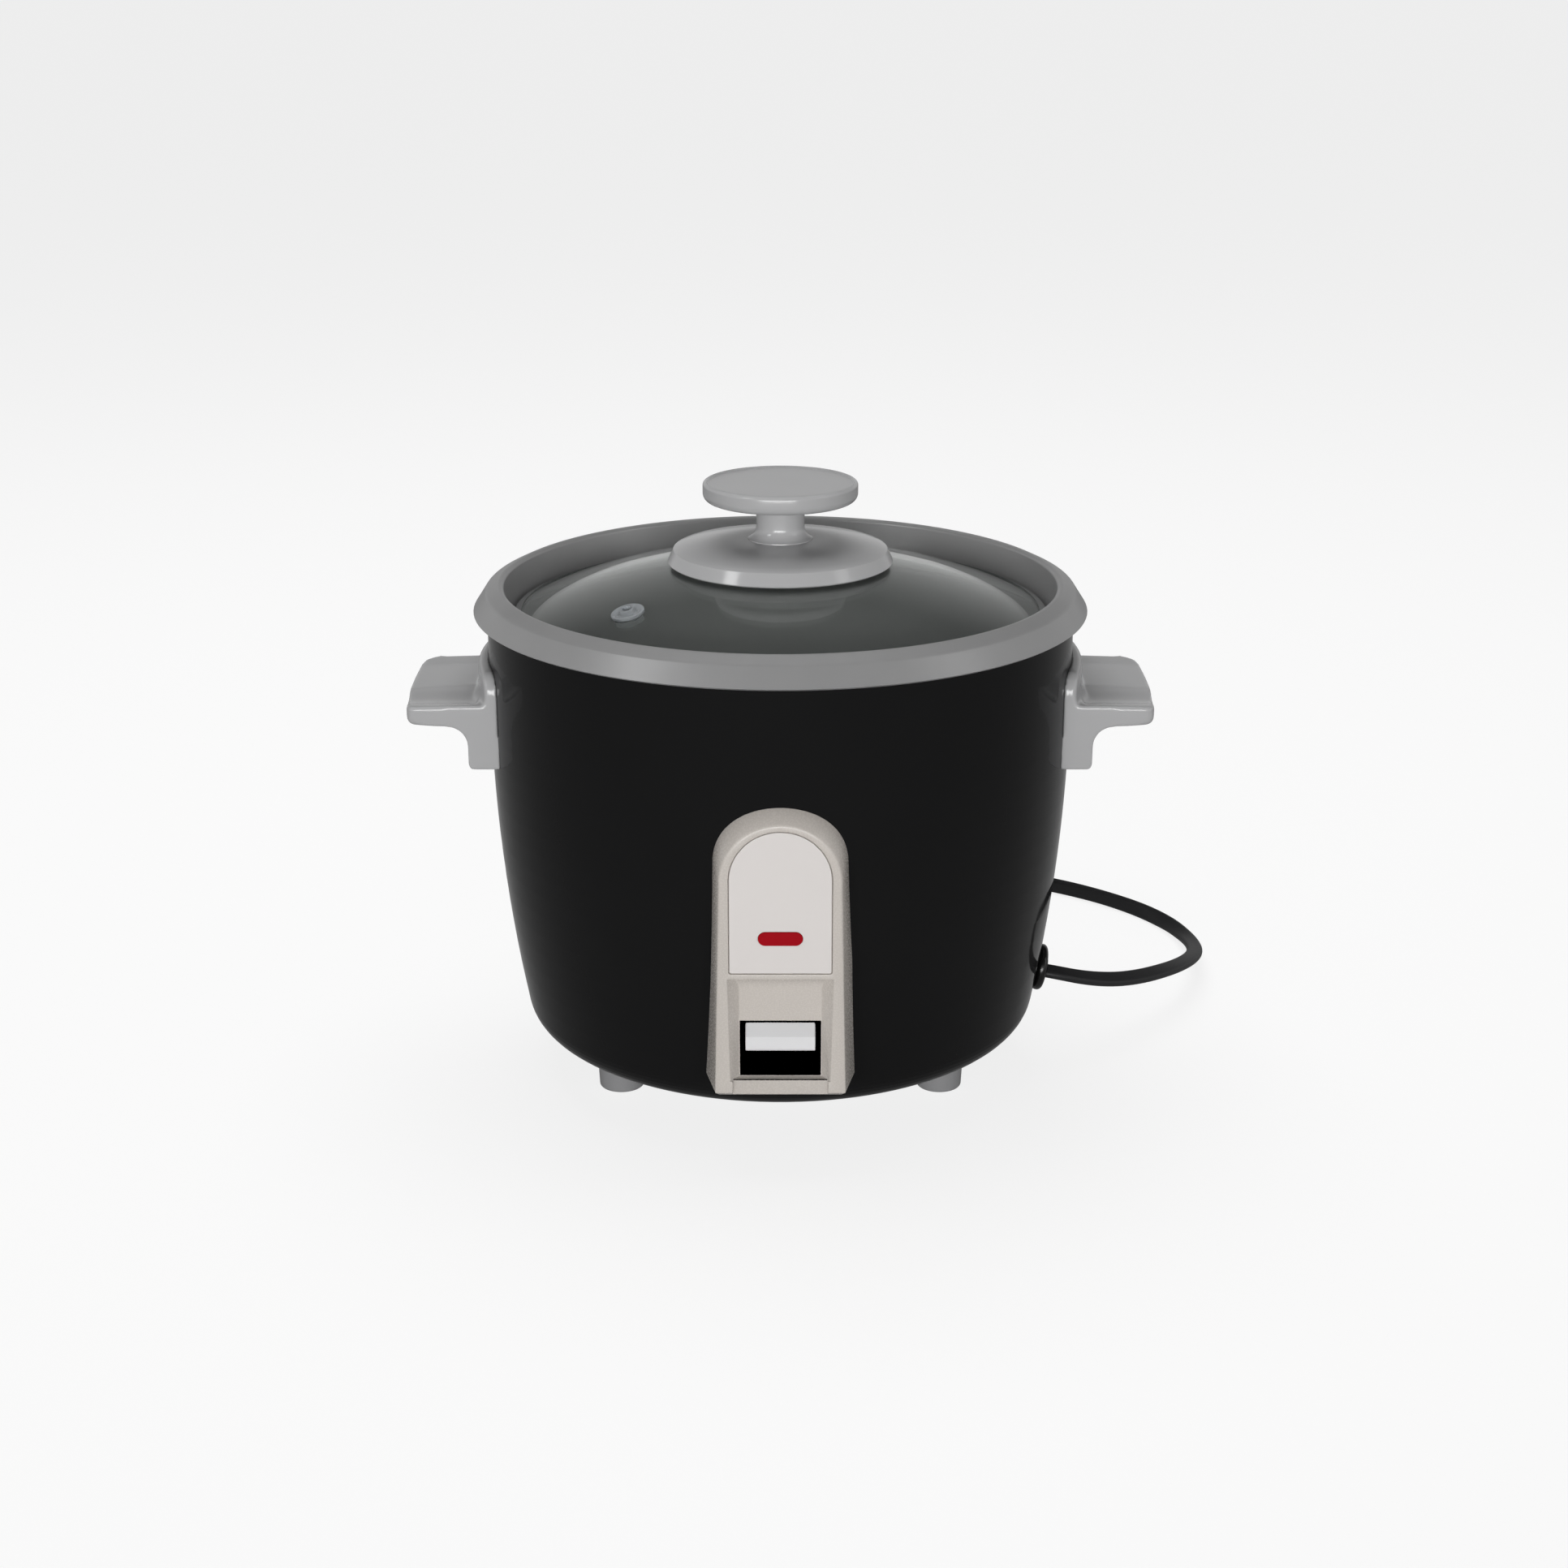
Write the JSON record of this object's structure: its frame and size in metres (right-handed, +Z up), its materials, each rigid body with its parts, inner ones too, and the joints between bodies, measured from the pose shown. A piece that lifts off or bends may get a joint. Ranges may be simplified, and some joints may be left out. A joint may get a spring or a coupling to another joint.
{
  "type": "rice cooker",
  "caption": "Rice cooker with a lift-out pan and a glass lid on a black heated body, side grips, a front panel with a magnetic cook switch, and a flat mains cord.",
  "frame": {"origin": "on the surface it stands on, under the middle of the body", "axes": "+Z up; the front panel faces -Y; the grips are on the -X and +X sides and the cord leaves on +X"},
  "size_m": [0.3633, 0.3552, 0.259],
  "materials": {
    "shell_black": "satin black enamel on sheet steel",
    "pressed_steel": "zinc-plated pressed steel",
    "chamber_steel": "dull aluminised sheet",
    "cast_heater": "cast aluminium, machined top",
    "element_steel": "oxidised steel tube",
    "ceramic": "off-white insulator",
    "ferrite_dark": "dark sintered ferrite",
    "pan_aluminium": "satin drawn aluminium with a fine grain",
    "lid_glass": "tempered glass, faint grey-green tint",
    "lid_steel": "polished stainless band",
    "clear_silicone": "clear silicone",
    "grip_grey": "glossy mid-grey plastic",
    "panel_stone": "satin warm grey plastic",
    "label_white": "satin off-white plate",
    "lens_red": "clear red lens",
    "lamp_clear": "clear neon lamp",
    "key_white": "satin white plastic",
    "housing_black": "black plastic",
    "foot_grey": "grey plastic foot",
    "cord_black": "black flexible PVC",
    "blade_brass": "plain brass blade",
    "switch_black": "black moulding",
    "contact_red": "red button",
    "wire_red": "heat-resistant sleeving",
    "wire_grey": "grey wire"
  },
  "bodies": {
    "base": {"outer_body": "shell_black", "bottom_cover": "pressed_steel", "cover_screws": "pressed_steel", "foot_left": "foot_grey", "foot_right": "foot_grey", "foot_rear": "foot_grey", "foot_screws": "pressed_steel", "heating_chamber": "chamber_steel", "heater_plate": "cast_heater", "heating_element": "element_steel", "element_terminals": "ceramic", "heater_screws": "pressed_steel", "sensor_spring": "pressed_steel", "sensor_guide": "pressed_steel", "guide_screws": "pressed_steel", "release_spring": "pressed_steel", "switch_bracket": "pressed_steel", "pivot_pin": "pressed_steel", "microswitch": "switch_black", "thermal_fuse": "ceramic", "terminal_block": "ceramic", "internal_wires": "wire_red", "lamp_leads": "wire_grey", "handle_left": "grip_grey", "handle_right": "grip_grey", "handle_screws": "pressed_steel", "panel_bezel": "panel_stone", "panel_screws": "pressed_steel", "label_plate": "label_white", "lamp_lens": "lens_red", "indicator_lamp": "lamp_clear", "key_housing": "housing_black", "cord_bushing": "cord_black", "power_cord": "cord_black", "cord_coil": "cord_black", "plug_body": "cord_black", "plug_blades": "blade_brass"},
    "pan": {"inner_pan": "pan_aluminium"},
    "lid": {"lid_glass": "lid_glass", "lid_rim": "lid_steel", "vent_grommet": "clear_silicone", "knob_base": "grip_grey", "knob": "grip_grey", "knob_washer": "clear_silicone", "knob_screw": "pressed_steel"},
    "cook_lever": {"lever_arm": "pressed_steel", "switch_key": "key_white"},
    "magnet_plunger": {"lift_magnet": "ferrite_dark", "plunger_rod": "pressed_steel"},
    "switch_contact": {"contact_plunger": "contact_red"},
    "sensor": {"sensor_cap": "cast_heater", "ferrite_disc": "ferrite_dark"}
  },
  "joints": [
    {"name": "pan_lift", "type": "slide", "parent": "base", "child": "pan", "axis": [0, 0, 1], "range_m": [0, 0.15]},
    {"name": "lid_lift", "type": "slide", "parent": "pan", "child": "lid", "axis": [0, 0, 1], "range_m": [0, 0.08]},
    {"name": "cook_switch", "type": "hinge", "parent": "base", "child": "cook_lever", "pos_m": [0, -0.062, 0.0472], "axis": [1, 0, 0], "range_deg": [0, 5.5], "stiffness_Nm_per_rad": 1.2, "springref_deg": -4.58},
    {"name": "magnet_rise", "type": "slide", "parent": "base", "child": "magnet_plunger", "axis": [0, 0, 1], "range_m": [0, 0.0063], "deforming": ["release_spring"]},
    {"name": "contact_travel", "type": "slide", "parent": "base", "child": "switch_contact", "axis": [0, 0, 1], "range_m": [0, 0.0011]},
    {"name": "sensor_press", "type": "slide", "parent": "base", "child": "sensor", "axis": [0, 0, 1], "range_m": [-0.002, 0], "stiffness_N_per_m": 500, "springref_m": 0.004, "deforming": ["sensor_spring"]}
  ],
  "couplings": [
    {"joint": "magnet_rise", "follows": "cook_switch", "m_per_rad": 0.064339},
    {"joint": "contact_travel", "follows": "cook_switch", "m_per_rad": 0.010417}
  ]
}
